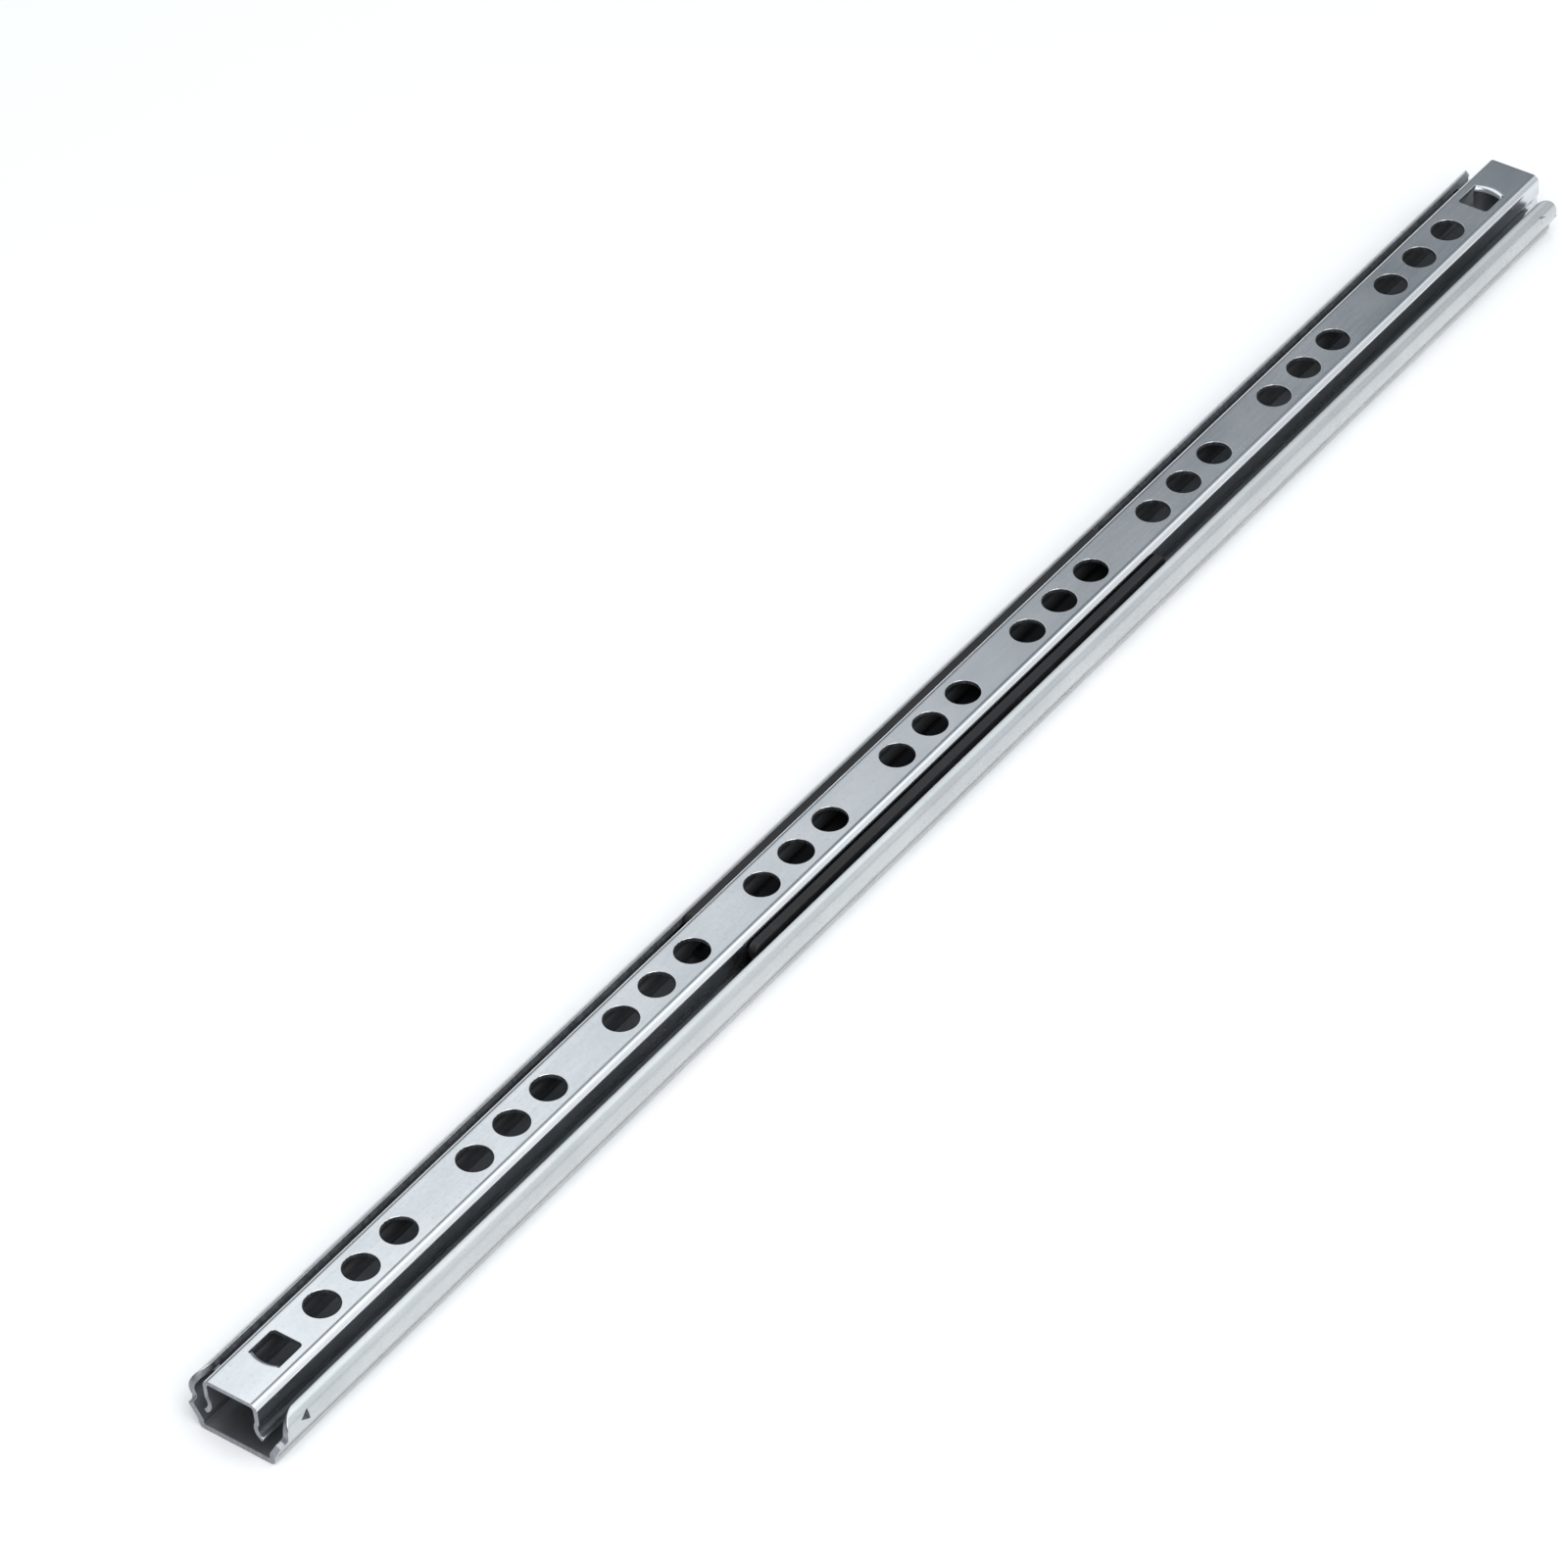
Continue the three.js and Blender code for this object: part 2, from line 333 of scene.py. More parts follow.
def zincPlate(name, look, ballTrack, paintedHighlightFrom):
    # bright zinc on rolled sheet: cloudy plating, faint rolling lines, rubbed ball tracks, and a lighter band
    # of painted highlight along the shoulders and lips
    finish, tree, shader = startFinish(name)
    patterns = plating["patterns"].values()
    cloud, speckle, rolling, grain, smudge = [objectNoise(tree, *values) for values in patterns]

    coords = addNode(tree, "ShaderNodeTexCoord")
    place = addNode(tree, "ShaderNodeSeparateXYZ", Vector=coords.outputs["Object"])
    along = calc(tree, "ABSOLUTE", place.outputs["X"])
    sideways = calc(tree, "ABSOLUTE", place.outputs["Y"])
    height = place.outputs["Z"]
    fromTrack = calc(tree, "ABSOLUTE", calc(tree, "SUBTRACT", height, section["raceHeight"] * mm))
    near, far = ballTrack
    rubbed = multiply(
        tree,
        remap(tree, sideways, inMetres(near, near + wearAndPaintedHighlight["trackFade"]), (0, 1)),
        remap(tree, sideways, inMetres(far, far + wearAndPaintedHighlight["trackFade"]), (1, 0)),
        remap(tree, fromTrack, inMetres(*wearAndPaintedHighlight["trackHeight"]), (1, 0), True),
        remap(tree, along, inMetres(*wearAndPaintedHighlight["trackRun"]), (1, 0), True),
        remap(tree, rolling, noiseCore, wearAndPaintedHighlight["trackBreakUp"]),
    )
    # painted highlight: a lighter, smoother band along the upper walls and lips
    paintedHighlight = multiply(
        tree,
        remap(tree, sideways, inMetres(paintedHighlightFrom, paintedHighlightFrom + wearAndPaintedHighlight["paintedHighlightFade"]), (0, 1), True),
        remap(tree, height, inMetres(*wearAndPaintedHighlight["paintedHighlightHeight"]), (0, 1), True),
        remap(tree, cloud, wearAndPaintedHighlight["paintedHighlightClouds"], wearAndPaintedHighlight["paintedHighlightBreakUp"]),
    )

    clouded = remap(tree, cloud, plating["clouds"], (0, 1))
    plain = mixColours(tree, clouded, look["clearColour"], look["cloudColour"])
    spots = remap(tree, speckle, plating["spots"], (0, plating["spotShare"]))
    spotted = mixColours(tree, spots, plain, look["spotColour"])
    # ball-track wear and the painted highlight both take the lighter colour
    wornAndPaintedHighlight = mixColours(tree, calc(tree, "MAXIMUM", rubbed, paintedHighlight), spotted, look["burnishAndPaintedHighlight"])
    feed(tree, shader.inputs["Base Color"], wornAndPaintedHighlight)

    trackPolish = look["roughness"][0] - look["rubbedRoughness"]
    dull = remap(tree, smudge, noiseCore, look["roughness"])
    dull = calc(tree, "ADD", dull, remap(tree, speckle, noiseSpan, plating["speckleDulling"]))
    dull = calc(tree, "ADD", dull, remap(tree, rolling, noiseSpan, plating["rollingDulling"]))
    dull = calc(tree, "SUBTRACT", dull, multiply(tree, rubbed, trackPolish))
    dull = calc(tree, "SUBTRACT", dull, multiply(tree, paintedHighlight, wearAndPaintedHighlight["paintedHighlightPolish"]))
    feed(tree, shader.inputs["Roughness"], dull)
    feed(tree, shader.inputs["Metallic"], 1.0)
    addBump(tree, shader, (cloud, rolling, grain), plating["relief"])
    return finish


# the cut faces' colours: bare steel, darkened beyond its own colour as painted shade
cutSteelWithPaintedShade = {
    "drag": ((1, 1, 0.2), 2400, 4, 0.7),
    "torn": (evenNoise, 700, 3),
    "shades": ((0.22, 0.23, 0.25, 1), (0.42, 0.43, 0.45, 1)),
    "tornColour": (0.16, 0.17, 0.18, 1),
    "tornPatches": (0.5, 0.75),
    "tornShare": 0.6,
    "roughness": (0.38, 0.58),
    "relief": ((0.3, 0.02), (0.4, 0.012)),
}


def shearedEdge(name):
    # the cut faces of the sheet: fine drag lines across the thickness and darker torn patches, on bare steel
    # darkened beyond its own colour as painted shade
    finish, tree, shader = startFinish(name)
    drag = objectNoise(tree, *cutSteelWithPaintedShade["drag"])
    torn = objectNoise(tree, *cutSteelWithPaintedShade["torn"])
    shade = mixColours(tree, remap(tree, drag, noiseSpan, (0, 1)), *cutSteelWithPaintedShade["shades"])
    patches = remap(tree, torn, cutSteelWithPaintedShade["tornPatches"], (0, cutSteelWithPaintedShade["tornShare"]))
    feed(tree, shader.inputs["Base Color"], mixColours(tree, patches, shade, cutSteelWithPaintedShade["tornColour"]))
    feed(tree, shader.inputs["Roughness"], remap(tree, drag, noiseSpan, cutSteelWithPaintedShade["roughness"]))
    feed(tree, shader.inputs["Metallic"], 1.0)
    addBump(tree, shader, (torn, drag), cutSteelWithPaintedShade["relief"])
    return finish


moulding = {
    "flow": ((0.15, 1, 1), 260, 3),
    "texture": (evenNoise, 2600, 3),
    "dust": (evenNoise, 420, 5, 0.7),
    "shades": ((0.008, 0.008, 0.009, 1), (0.015, 0.015, 0.017, 1)),
    "dustColour": (0.035, 0.035, 0.037, 1),
    "dustPatches": (0.58, 0.80),
    "dustShare": 0.5,
    "roughness": (0.38, 0.52),
    "textureDulling": (-0.04, 0.06),
    "specular": 0.4,
    "relief": ((0.2, 0.03), (0.35, 0.012)),
}


def blackMoulding(name):
    finish, tree, shader = startFinish(name)
    flow = objectNoise(tree, *moulding["flow"])
    texture = objectNoise(tree, *moulding["texture"])
    dust = objectNoise(tree, *moulding["dust"])
    body = mixColours(tree, remap(tree, flow, noiseCore, (0, 1)), *moulding["shades"])
    patches = remap(tree, dust, moulding["dustPatches"], (0, moulding["dustShare"]))
    feed(tree, shader.inputs["Base Color"], mixColours(tree, patches, body, moulding["dustColour"]))
    dull = remap(tree, flow, noiseSpan, moulding["roughness"])
    dull = calc(tree, "ADD", dull, remap(tree, texture, noiseSpan, moulding["textureDulling"]))
    feed(tree, shader.inputs["Roughness"], dull)
    feed(tree, shader.inputs["Specular IOR Level"], moulding["specular"])
    addBump(tree, shader, (flow, texture), moulding["relief"])
    return finish


ballSteel = {
    "lapping": (evenNoise, 5200, 4, 0.75),
    "haze": (evenNoise, 900, 3),
    "shades": ((0.80, 0.81, 0.82, 1), (0.90, 0.90, 0.91, 1)),
    "roughness": (0.05, 0.14),
    "relief": ((0.12, 0.002),),
    "subdivisions": 4,
}


def polishedBall(name):
    finish, tree, shader = startFinish(name)
    lapping = objectNoise(tree, *ballSteel["lapping"])
    haze = objectNoise(tree, *ballSteel["haze"])
    tone = mixColours(tree, remap(tree, haze, noiseSpan, (0, 1)), *ballSteel["shades"])
    feed(tree, shader.inputs["Base Color"], tone)
    feed(tree, shader.inputs["Roughness"], remap(tree, lapping, noiseSpan, ballSteel["roughness"]))
    feed(tree, shader.inputs["Metallic"], 1.0)
    addBump(tree, shader, (lapping,), ballSteel["relief"])
    return finish


board = {
    "sweep": (evenNoise, 3, 2),
    "fibre": (evenNoise, 900, 3),
    "shades": ((0.90, 0.90, 0.905, 1), (0.93, 0.93, 0.935, 1)),
    "roughness": (0.75, 0.9),
    "size": 12.0,
    "cells": 8,
}


def paleFloor(name):
    finish, tree, shader = startFinish(name)
    sweep = objectNoise(tree, *board["sweep"])
    fibre = objectNoise(tree, *board["fibre"])
    tone = mixColours(tree, remap(tree, sweep, noiseSpan, (0, 1)), *board["shades"])
    feed(tree, shader.inputs["Base Color"], tone)
    feed(tree, shader.inputs["Roughness"], remap(tree, fibre, noiseSpan, board["roughness"]))
    return finish


cabinet = {
    "sheet": 1.0,
    "rows": (-144, -112, -64, 0, 64, 112, 144),
    "footHalfWidth": 6.55,
    "footFillet": 1.05,
    "footHeight": 1.5,
    "flatInset": 3,
    "lipAngle": 70,
    "stepHeight": 3.8,
    "stepRise": 0.04,
    "stepBlend": 0.3,
    "stepBack": 0.8,
    "trimSetback": 1.1,
    "frontTrimRadius": 3.5,
    "rearTrimRadius": 2.7,
    "holeRadius": 2.2,
    "holePlaces": (32, 96, 128),
    "holeSegments": 40,
    "stopPlace": 149.5,
    "stopLength": 1.7,
    "stopHalfHeight": 0.95,
    "stopDepth": 1.5,
    "stopHeight": 6.3,
    "stopOverlap": 0.1,
    "edge": 0.11,
}


def cabinetProfile():
    outerRadius = section["raceRadius"] + cabinet["sheet"]
    race = (section["raceOffset"], section["raceHeight"], outerRadius)
    offsetY = section["raceOffset"] - cabinet["footHalfWidth"]
    offsetZ = section["raceHeight"] - cabinet["footHeight"]
    heading = math.atan2(offsetZ, offsetY) - math.asin(outerRadius / math.hypot(offsetY, offsetZ))
    bottom = math.degrees(heading) - 90  # where the leaning wall runs into the raceway's back
    footCentre = cabinet["footHalfWidth"] - cabinet["footFillet"]
    half = [(footCentre - cabinet["flatInset"], 0)]
    half += arcChain(footCentre, cabinet["footFillet"], cabinet["footFillet"], -90, 0, 8)
    startY, startZ = cabinet["footHalfWidth"], cabinet["footHeight"]
    endY, endZ = arcPoint(*race, bottom)
    step = cabinet["stepHeight"]
    for height in (startZ, step, step + cabinet["stepRise"], step + cabinet["stepBlend"]):
        share = (height - startZ) / (endZ - startZ)
        half.append((startY + share * (endY - startY), height))
    tipRun = math.degrees(cabinet["frontTrimRadius"] / outerRadius)
    half += arcChain(*race, bottom, cabinet["lipAngle"] - tipRun, 3)
    for turn in range(6, 79, 6):  # rows gather towards the lip, where the trimmed corner turns fastest
        half.append(arcPoint(*race, cabinet["lipAngle"] - tipRun * (1 - math.sin(math.radians(turn)))))
    half.append(arcPoint(*race, cabinet["lipAngle"]))
    return mirrored(half) + half


def trimAt(y, z, radius):
    # how far the end of the wall is cut back at a point of the section
    if z < cabinet["stepHeight"] + cabinet["stepRise"] / 2:
        return 0.0
    if z < cabinet["stepHeight"] + cabinet["stepRise"] * 2:
        return cabinet["stepBack"]
    outerRadius = section["raceRadius"] + cabinet["sheet"]
    angle = math.atan2(z - section["raceHeight"], abs(y) - section["raceOffset"])
    fromTip = (math.radians(cabinet["lipAngle"]) - angle) * outerRadius
    if fromTip >= radius:
        return cabinet["trimSetback"]
    rise = radius - max(fromTip, 0.0)
    return cabinet["trimSetback"] + radius - math.sqrt(radius**2 - rise**2)


def stopWedges(inward, slot):
    # three-cornered punches, standing a little out of the wall's outer face less the inward shift
    bm = bmesh.new()
    spread = section["raceRadius"] + cabinet["sheet"]
    rise = cabinet["stopHeight"] - section["raceHeight"]
    skin = section["raceOffset"] + math.sqrt(spread**2 - rise**2) + cabinet["stopOverlap"] - inward
    base, high = cabinet["stopPlace"], cabinet["stopHalfHeight"]
    for end in (-1, 1):
        for side in (-1, 1):
            corners = [
                bm.verts.new((end * (base + cabinet["stopLength"]), side * skin, cabinet["stopHeight"])),
                bm.verts.new((end * base, side * skin, cabinet["stopHeight"] + high)),
                bm.verts.new((end * base, side * skin, cabinet["stopHeight"] - high)),
                bm.verts.new((end * base, side * (skin - cabinet["stopDepth"]), cabinet["stopHeight"])),
            ]
            bmesh.ops.convex_hull(bm, input=corners)
    bmesh.ops.recalc_face_normals(bm, faces=bm.faces[:])
    paintFaces(bm, slot)
    return makePiece("stopTool", bm)


def drillTool(places, radius, height, segments):
    bm = bmesh.new()
    for x in places:
        bmesh.ops.create_cone(
            bm, cap_ends=True, segments=segments, radius1=radius, radius2=radius,
            depth=section["drillDepth"], matrix=Matrix.Translation((x, 0, height)),
        )
    paintFaces(bm, cutFace)
    return makePiece("drillTool", bm)


def makeCabinetMember(*finishes):
    low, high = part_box("outer_member")
    length = (high.x - low.x) / mm
    bm = bmesh.new()
    sweepStrip(bm, cabinetProfile(), [-length / 2, *cabinet["rows"], length / 2])
    for v in bm.verts:
        if abs(v.co.x) > max(cabinet["rows"]) + 1:
            end = 1 if v.co.x > 0 else -1
            radius = cabinet["frontTrimRadius"] if end > 0 else cabinet["rearTrimRadius"]
            v.co.x = end * (length / 2 - trimAt(v.co.y, v.co.z, radius))
    faceOutward(bm)
    piece = makePiece("cabinetMember", bm, *finishes)
    thicken(piece, cabinet["sheet"])
    places = [end * x for end in (-1, 1) for x in cabinet["holePlaces"]]
    drills = drillTool(places, cabinet["holeRadius"], cabinet["sheet"] / 2, cabinet["holeSegments"])
    combine(piece, drills, "DIFFERENCE")
    softenEdges(piece, cabinet["edge"])
    combine(piece, stopWedges(cabinet["sheet"] - cabinet["stopOverlap"], innerFace), "UNION")
    combine(piece, stopWedges(0, cutFace), "DIFFERENCE")
    for v in piece.data.vertices:  # rounding leaves the widest rows a hair outside the CAD's box
        v.co.y = min(max(v.co.y, low.y), high.y)
    smoothFaces(piece)
    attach(piece, "cabinet_member")
    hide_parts("outer_member")
    return piece


drawer = {
    "sheet": 0.7,
    "halfWidth": 4.6,
    "top": 10.0,
    "flatInset": 0.3,
    "shoulderRadius": 1.2,
    "grooveEnd": 240,
    "holeRadius": 2.6,
    "holeSegments": 48,
    "groupPitch": 32,
    "holePitch": 8,
    "groups": 9,
    "tabFace": 147.0,
    "tabHalfWidth": 2.4,
    "tabBend": 0.9,
    "tabBow": 0.7,
    "tabSteps": 12,
    "tabRoot": 0.5,
    "tabTip": 3.7,
    "windowLength": 4.0,
    "windowHalfWidth": 2.6,
    "windowCorner": 0.6,
    "cutReach": 2,
    "edge": 0.08,
}


def drawerProfile():
    shoulderY = drawer["halfWidth"] - drawer["shoulderRadius"]
    shoulderZ = drawer["top"] - drawer["shoulderRadius"]
    blend = drawer["shoulderRadius"] + section["raceRadius"]
    drop = math.sqrt(blend**2 - (section["raceOffset"] - shoulderY) ** 2)
    waist = section["raceHeight"] + drop
    turn = math.degrees(math.atan2(drop, section["raceOffset"] - shoulderY))
    race = (section["raceOffset"], section["raceHeight"], section["raceRadius"])
    half = [(shoulderY - drawer["flatInset"], drawer["top"])]
    half += arcChain(shoulderY, shoulderZ, drawer["shoulderRadius"], 90, 0, 12)
    half += arcChain(shoulderY, waist, drawer["shoulderRadius"], 0, -turn, 5)
    half += arcChain(*race, 180 - turn, drawer["grooveEnd"], 18)[1:]
    return mirrored(half) + half


def bowStations():
    # places across the channel that the tab and its window share, so their seam closes exactly
    half, steps = drawer["tabHalfWidth"], drawer["tabSteps"]
    return [half * (2 * i / steps - 1) for i in range(steps + 1)]


def bulge(y):
    # the lanced tab's bend line bows out towards the end of the channel
    return drawer["tabBow"] * (1 - (y / drawer["windowHalfWidth"]) ** 2)


def windowTool():
    bm = bmesh.new()
    half, corner, reach = drawer["windowHalfWidth"], drawer["windowCorner"], drawer["cutReach"]
    start = drawer["tabFace"] - drawer["windowLength"]
    for end in (-1, 1):
        ring = arcChain(start + corner, half - corner, corner, 90, 180, 5)
        ring += arcChain(start + corner, corner - half, corner, 180, 270, 5)
        for y in [-half] + bowStations() + [half]:
            ring.append((drawer["tabFace"] + drawer["tabBend"] + bulge(y), y))
        prismBetween(bm, [(end * x, y, drawer["top"] - reach) for x, y in ring], (0, 0, 2 * reach))
    paintFaces(bm, cutFace)
    bmesh.ops.recalc_face_normals(bm, faces=bm.faces[:])
    return makePiece("windowTool", bm)


def tabTool():
    # the side view of the bent tab, pulled across the channel along its bowed bend line
    bm = bmesh.new()
    bendX, bendZ = drawer["tabFace"] + drawer["tabBend"], drawer["top"] - drawer["tabBend"]
    rootX, tip = bendX + drawer["tabRoot"], drawer["tabTip"]
    side = [(rootX, drawer["top"])]
    side += arcChain(bendX, bendZ, drawer["tabBend"], 90, 180, 10)
    side += [(drawer["tabFace"], tip), (drawer["tabFace"] + drawer["sheet"], tip)]
    side += arcChain(bendX, bendZ, drawer["tabBend"] - drawer["sheet"], 180, 90, 5)
    side += [(rootX, drawer["top"] - drawer["sheet"])]
    stations = bowStations()
    for end in (-1, 1):
        start = stations[0]
        rows = [bm.verts.new((end * (x + bulge(start)), start, z)) for x, z in side]
        strip = [bm.edges.new(pair) for pair in zip(rows, rows[1:] + rows[:1])]
        bmesh.ops.contextual_create(bm, geom=strip)
        for y, nextY in zip(stations, stations[1:]):
            strip = pullEdges(bm, strip, (end * (bulge(nextY) - bulge(y)), nextY - y, 0))
        bmesh.ops.contextual_create(bm, geom=strip)
    bmesh.ops.recalc_face_normals(bm, faces=bm.faces[:])
    square = 0.9  # a normal's share along an axis that counts as facing it
    for face in bm.faces:
        underTip = face.normal.z < -square and face.calc_center_median().z < tip + 0.1
        face.material_index = cutFace if abs(face.normal.y) > square or underTip else outerFace
    return makePiece("tabTool", bm)


def makeDrawerMember(*finishes):
    low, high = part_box("inner_member")
    length = (high.x - low.x) / mm
    middle = (drawer["groups"] - 1) / 2
    centres = [(group - middle) * drawer["groupPitch"] for group in range(drawer["groups"])]
    rows = [centre + share * drawer["holePitch"] for centre in centres for share in (-1.5, -0.5, 0.5, 1.5)]
    bm = bmesh.new()
    sweepStrip(bm, drawerProfile(), [-length / 2, *rows, length / 2])
    faceOutward(bm)
    piece = makePiece("drawerMember", bm, *finishes)
    thicken(piece, drawer["sheet"])
    holes = [centre + k * drawer["holePitch"] for centre in centres for k in (-1, 0, 1)]
    drills = drillTool(holes, drawer["holeRadius"], drawer["top"], drawer["holeSegments"])
    combine(piece, drills, "DIFFERENCE")
    combine(piece, windowTool(), "DIFFERENCE")
    combine(piece, tabTool(), "UNION")
    closeSlivers(piece)
    softenEdges(piece, drawer["edge"])
    for v in piece.data.vertices:  # the softened seam of the tab may not stand above the web
        v.co.z = min(v.co.z, drawer["top"] * mm)
    smoothFaces(piece)
    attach(piece, "drawer_member")
    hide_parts("inner_member")
    return piece


cage = {
    # the section's right half, across and up
    "outside": [
        (1.9, 3.9), (2.9, 1.9), (4.9, 1.9), (5.55, 2.3),
        (6.25, 3.6), (6.45, 4.5), (6.45, 6.3), (6.2, 7.0),
    ],
    "inside": [
        (4.85, 7.1), (5.25, 6.6), (5.25, 4.7), (5.4, 3.9),
        (5.0, 3.1), (4.5, 2.95), (3.7, 2.95), (2.9, 4.9),
    ],
    "top": 8.75,
    "rimFrom": 4.85,
    "rimTo": 6.2,
    "cornerRadius": 1.3,
    "cutReach": 9,
    "pocketRadius": 1.72,
    "pocketSegments": 36,
    "pocketDepth": 3,
    "pocketShift": 0.2,
    "edge": 0.14,
    "edgeAngle": 28,
}


def makeBallCage(finish):
    low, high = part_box("ball_retainer")
    length = (high.x - low.x) / mm
    top, radius, reach = cage["top"], cage["cornerRadius"], cage["cutReach"]
    half = cage["outside"] + [(cage["rimTo"], top), (cage["rimFrom"], top)] + cage["inside"]
    outline = half + mirrored(half)
    bm = bmesh.new()
    prismBetween(bm, [(-length / 2, y, z) for y, z in outline], (length, 0, 0))
    bmesh.ops.recalc_face_normals(bm, faces=bm.faces[:])
    piece = makePiece("ballCage", bm, finish)

    corners = bmesh.new()
    centreX, centreZ = length / 2 - radius, top - radius
    pastX, pastZ = length / 2 + 1, top + 1
    ring = [(pastX, centreZ), *arcChain(centreX, centreZ, radius, 0, 90, 8), (centreX, pastZ), (pastX, pastZ)]
    for end in (-1, 1):
        prismBetween(corners, [(end * x, -reach, z) for x, z in ring], (0, 2 * reach, 0))
    bmesh.ops.recalc_face_normals(corners, faces=corners.faces[:])
    combine(piece, makePiece("cornerTool", corners), "DIFFERENCE")

    pockets = bmesh.new()
    across = Matrix.Rotation(math.pi / 2, 4, "X")
    for centre in ballCentres():
        shift = cage["pocketShift"] if centre.y > 0 else -cage["pocketShift"]
        bmesh.ops.create_cone(
            pockets, cap_ends=True, segments=cage["pocketSegments"],
            radius1=cage["pocketRadius"], radius2=cage["pocketRadius"], depth=cage["pocketDepth"],
            matrix=Matrix.Translation(centre + Vector((0, shift, 0))) @ across,
        )
    combine(piece, makePiece("pocketTool", pockets), "DIFFERENCE")
    softenEdges(piece, cage["edge"], cage["edgeAngle"])
    smoothFaces(piece)
    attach(piece, "retainer")
    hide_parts("ball_retainer")
    return piece


def ballNames():
    return sorted(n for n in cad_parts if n.startswith("ball_left") or n.startswith("ball_right"))


def ballCentres():
    centres = []
    for name in ballNames():
        low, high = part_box(name)
        centres.append((low + high) / (2 * mm))
    return centres


def makeBalls(finish):
    low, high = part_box(ballNames()[0])
    radius = (high.z - low.z) / (2 * mm)
    bm = bmesh.new()
    for centre in ballCentres():
        place = Matrix.Translation(centre)
        bmesh.ops.create_icosphere(bm, subdivisions=ballSteel["subdivisions"], radius=radius, matrix=place)
    piece = makePiece("raceBalls", bm, finish)
    piece.data.shade_smooth()
    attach(piece, "retainer")
    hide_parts(*ballNames())
    return piece


view = {
    "place": (0.57665, 0.45368, 0.64514),
    "right": (-0.59438, 0.80151, -0.06549),
    "up": (-0.56043, -0.35444, 0.74852),
    "back": (0.57674, 0.48161, 0.65987),
    "lens": 157.3,
    "sensorWidth": 36,
    "nearest": 0.05,
    "farthest": 50,
}


def makeCamera():
    data = bpy.data.cameras.new("camera")
    data.lens = view["lens"]
    data.sensor_width = view["sensorWidth"]
    data.clip_start = view["nearest"]
    data.clip_end = view["farthest"]
    camera = bpy.data.objects.new("camera", data)
    bpy.context.scene.collection.objects.link(camera)
    turn = Matrix((view["right"], view["up"], view["back"])).transposed()
    turn = turn.to_quaternion().to_matrix().to_4x4()  # the rounded axes made square again
    camera.matrix_world = Matrix.Translation(view["place"]) @ turn
    bpy.context.scene.camera = camera


# one soft square lamp, high in front
softbox = {
    "direction": (0.42, 0.55, 1.0),
    "distance": 1.6,
    "size": 1.6,
    "watts": 25.5,
}


def makeLamp():
    data = bpy.data.lights.new("softbox", "AREA")
    data.shape = "SQUARE"
    data.size = softbox["size"]
    data.energy = softbox["watts"]
    lamp = bpy.data.objects.new("softbox", data)
    bpy.context.scene.collection.objects.link(lamp)
    toLamp = Vector(softbox["direction"]).normalized()
    lamp.location = toLamp * softbox["distance"]
    lamp.rotation_euler = toLamp.to_track_quat("Z", "Y").to_euler()
    lamp.visible_camera = False


room = {
    "tone": (0.225, 0.25, 0.275),
    "panelTint": (0.97, 0.99, 1.0),
    # soft panels on the walls: direction, full within, gone beyond (degrees), brightness
    "panels": {
        "backLeft": ((-0.207, -0.569, 0.796), 19, 28, 1.06),
        "rightWall": ((-0.30, 0.93, 0.22), 10, 36, 0.58),
        "rightMid": ((-0.40, 0.75, 0.50), 12, 32, 0.38),
        "rightHigh": ((-0.42, 0.42, 0.80), 8, 26, 1.10),
        "ceiling": ((0.0, 0.0, 1.0), 4, 24, 0.50),
        "rearWall": ((-1.0, 0.15, 0.02), 8, 40, 0.30),
    },
}


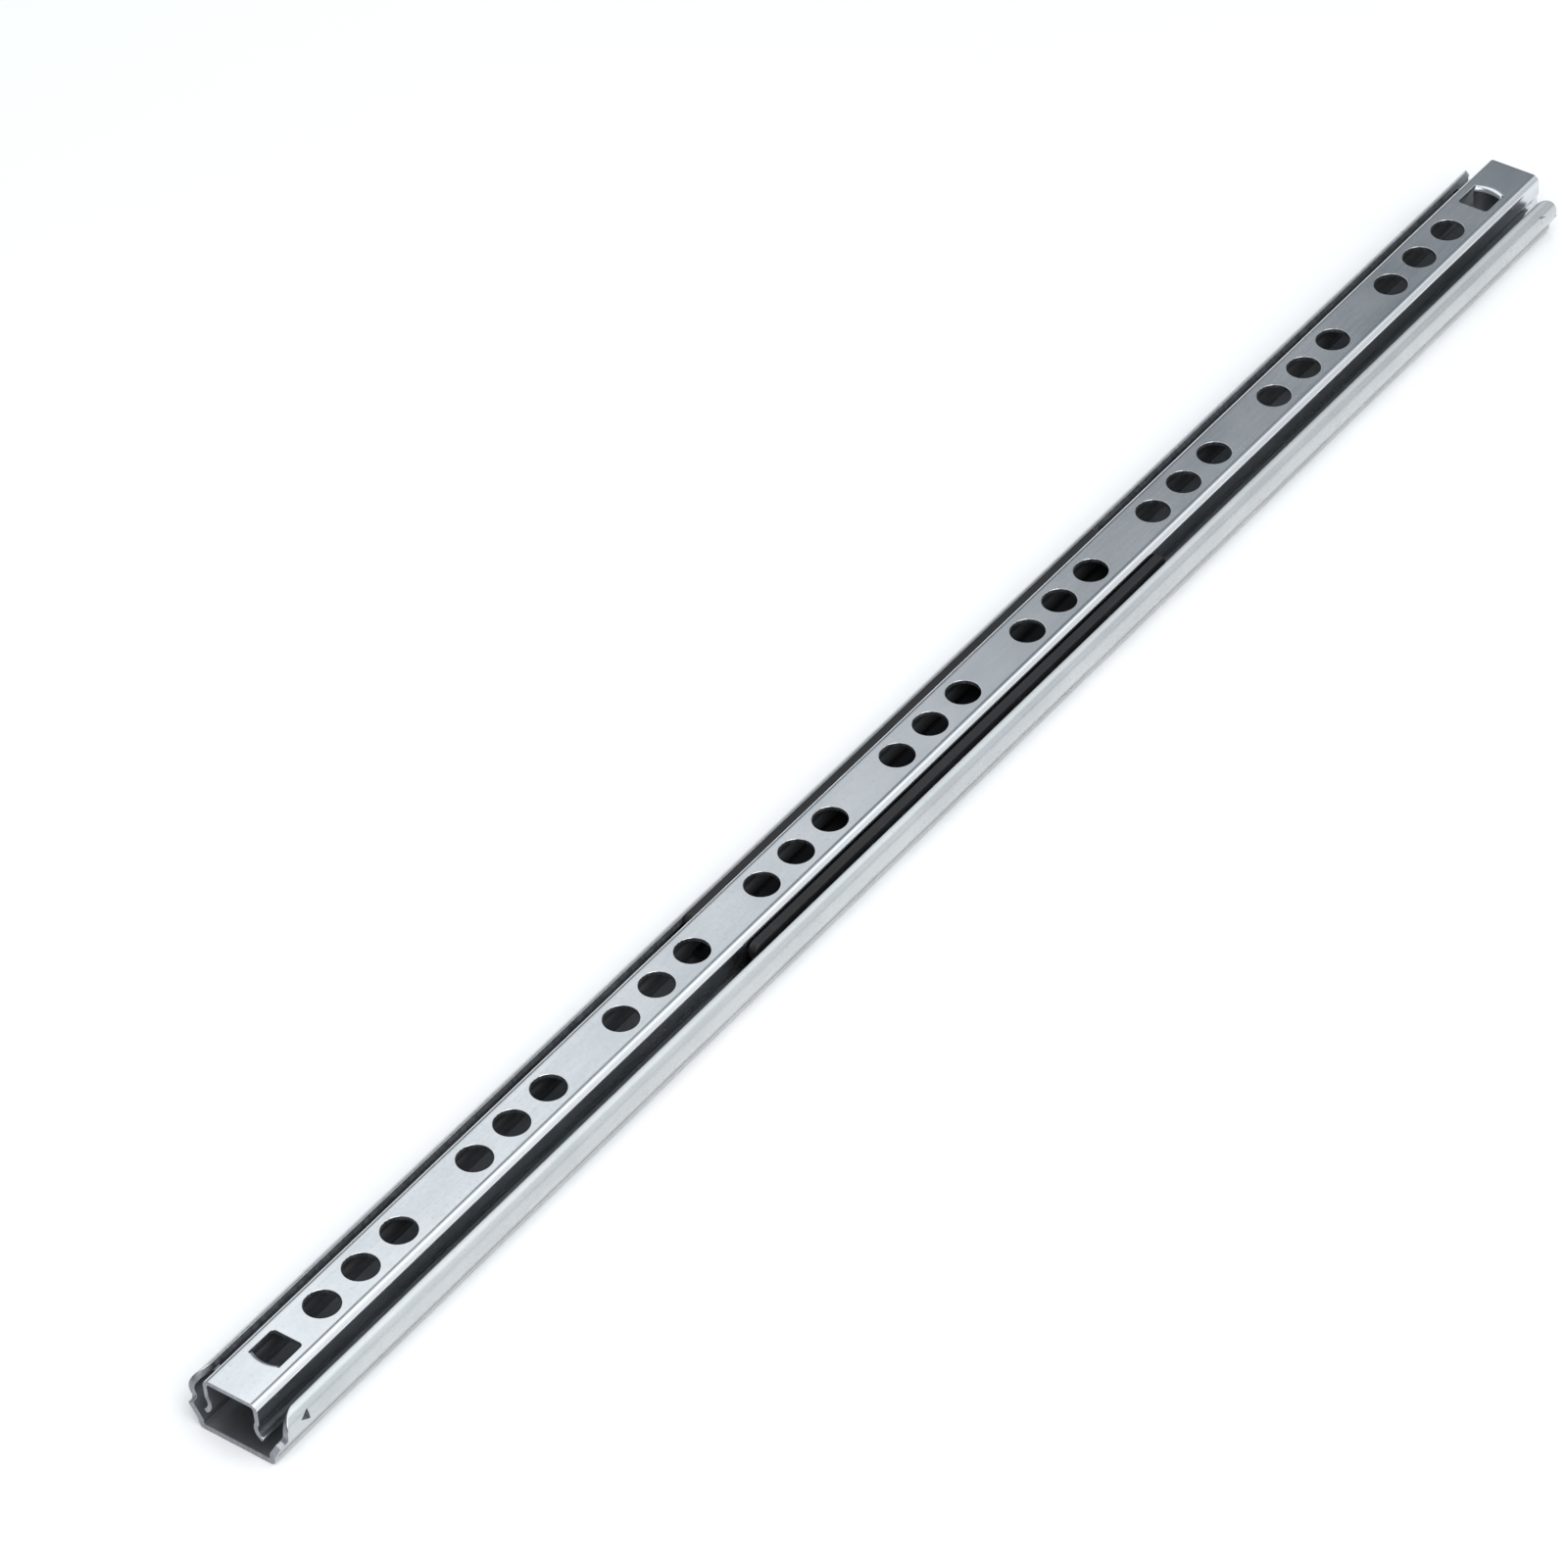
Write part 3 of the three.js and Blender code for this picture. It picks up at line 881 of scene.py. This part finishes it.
def makeRoom():
    world = bpy.data.worlds.new("studioWalls")
    bpy.context.scene.world = world
    world.use_nodes = True
    tree = world.node_tree
    coords = addNode(tree, "ShaderNodeTexCoord")
    glow = 0.0
    for direction, inner, outer, brightness in room["panels"].values():
        facing = addNode(tree, "ShaderNodeVectorMath", {"operation": "DOT_PRODUCT"})
        feed(tree, facing.inputs[0], coords.outputs["Generated"])
        feed(tree, facing.inputs[1], Vector(direction).normalized())
        rim, core = math.cos(math.radians(outer)), math.cos(math.radians(inner))
        share = remap(tree, facing.outputs["Value"], (rim, core), (0, brightness), True)
        glow = calc(tree, "ADD", glow, share)
    tinted = addNode(tree, "ShaderNodeVectorMath", {"operation": "SCALE"}, Scale=glow)
    feed(tree, tinted.inputs[0], room["panelTint"])
    total = addNode(tree, "ShaderNodeVectorMath")
    feed(tree, total.inputs[0], tinted.outputs["Vector"])
    feed(tree, total.inputs[1], room["tone"])
    feed(tree, tree.nodes["Background"].inputs["Color"], total.outputs["Vector"])


def makeFloor():
    bm = bmesh.new()
    cells, reach = board["cells"], board["size"] / 2 / mm
    bmesh.ops.create_grid(bm, x_segments=cells, y_segments=cells, size=reach)
    floor = makePiece("floor", bm, paleFloor("paleBoard"))
    low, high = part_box("outer_member")
    floor.data.transform(Matrix.Translation((0, 0, low.z)))


# 9 mm is past the slide's sides, so a surface with that distance has no such wear and no painted highlight
cabinetPiece = makeCabinetMember(
    zincPlate("cabinetZinc", cabinetZinc, ballTrack=(9, 9.5), paintedHighlightFrom=6.3),
    # the channel's inside: zinc darkened as painted shade
    zincPlate("channelZincPaintedShade", insideZincPaintedShade, ballTrack=(6.9, 7.75), paintedHighlightFrom=9),
    shearedEdge("cabinetCutEdge"),
)
print("cabinet member", len(cabinetPiece.data.polygons), "faces")
drawerPiece = makeDrawerMember(
    zincPlate("drawerZinc", drawerZinc, ballTrack=(4.2, 5.6), paintedHighlightFrom=3.5),
    # the underside: zinc darkened as painted shade
    zincPlate("undersideZincPaintedShade", insideZincPaintedShade, ballTrack=(9, 9.5), paintedHighlightFrom=9),
    shearedEdge("drawerCutEdge"),
)
print("drawer member", len(drawerPiece.data.polygons), "faces")
cagePiece = makeBallCage(blackMoulding("cageMoulding"))
print("ball cage", len(cagePiece.data.polygons), "faces")
ballPiece = makeBalls(polishedBall("ballSteel"))
print("balls", len(ballPiece.data.polygons), "faces")

makeFloor()
makeRoom()
makeLamp()
makeCamera()
bpy.context.scene.view_settings.view_transform = "Standard"
print("studio ready")
